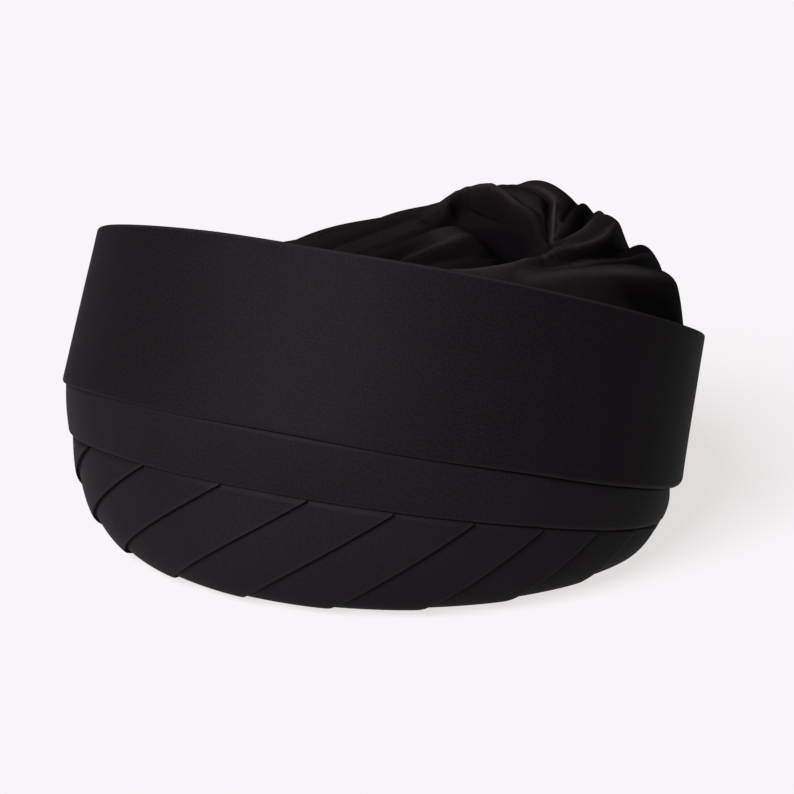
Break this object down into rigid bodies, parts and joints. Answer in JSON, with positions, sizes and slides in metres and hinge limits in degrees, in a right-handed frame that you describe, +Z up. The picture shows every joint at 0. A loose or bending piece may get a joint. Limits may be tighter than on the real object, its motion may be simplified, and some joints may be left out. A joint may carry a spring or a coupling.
{
  "type": "turban",
  "caption": "Wound cloth turban with slanting pleats round a curved base, a narrow and a tall leaning wrap, a rim high in front, and a soft gathered crown.",
  "frame": {"origin": "on the surface that it stands on, under the middle of its overall box", "axes": "+Z up, -Y towards the high front, +X towards the wearer's left"},
  "size_m": [0.261, 0.254, 0.1374],
  "materials": {
    "pleated_cloth": "matte crepe",
    "wrap_cloth": "matte crepe",
    "crown_cloth": "matte crepe"
  },
  "bodies": {
    "root": {"pleated_base": "pleated_cloth", "base_hem": "pleated_cloth", "lower_band": "wrap_cloth", "upper_band": "wrap_cloth", "crown_drape": "crown_cloth"}
  },
  "joints": []
}
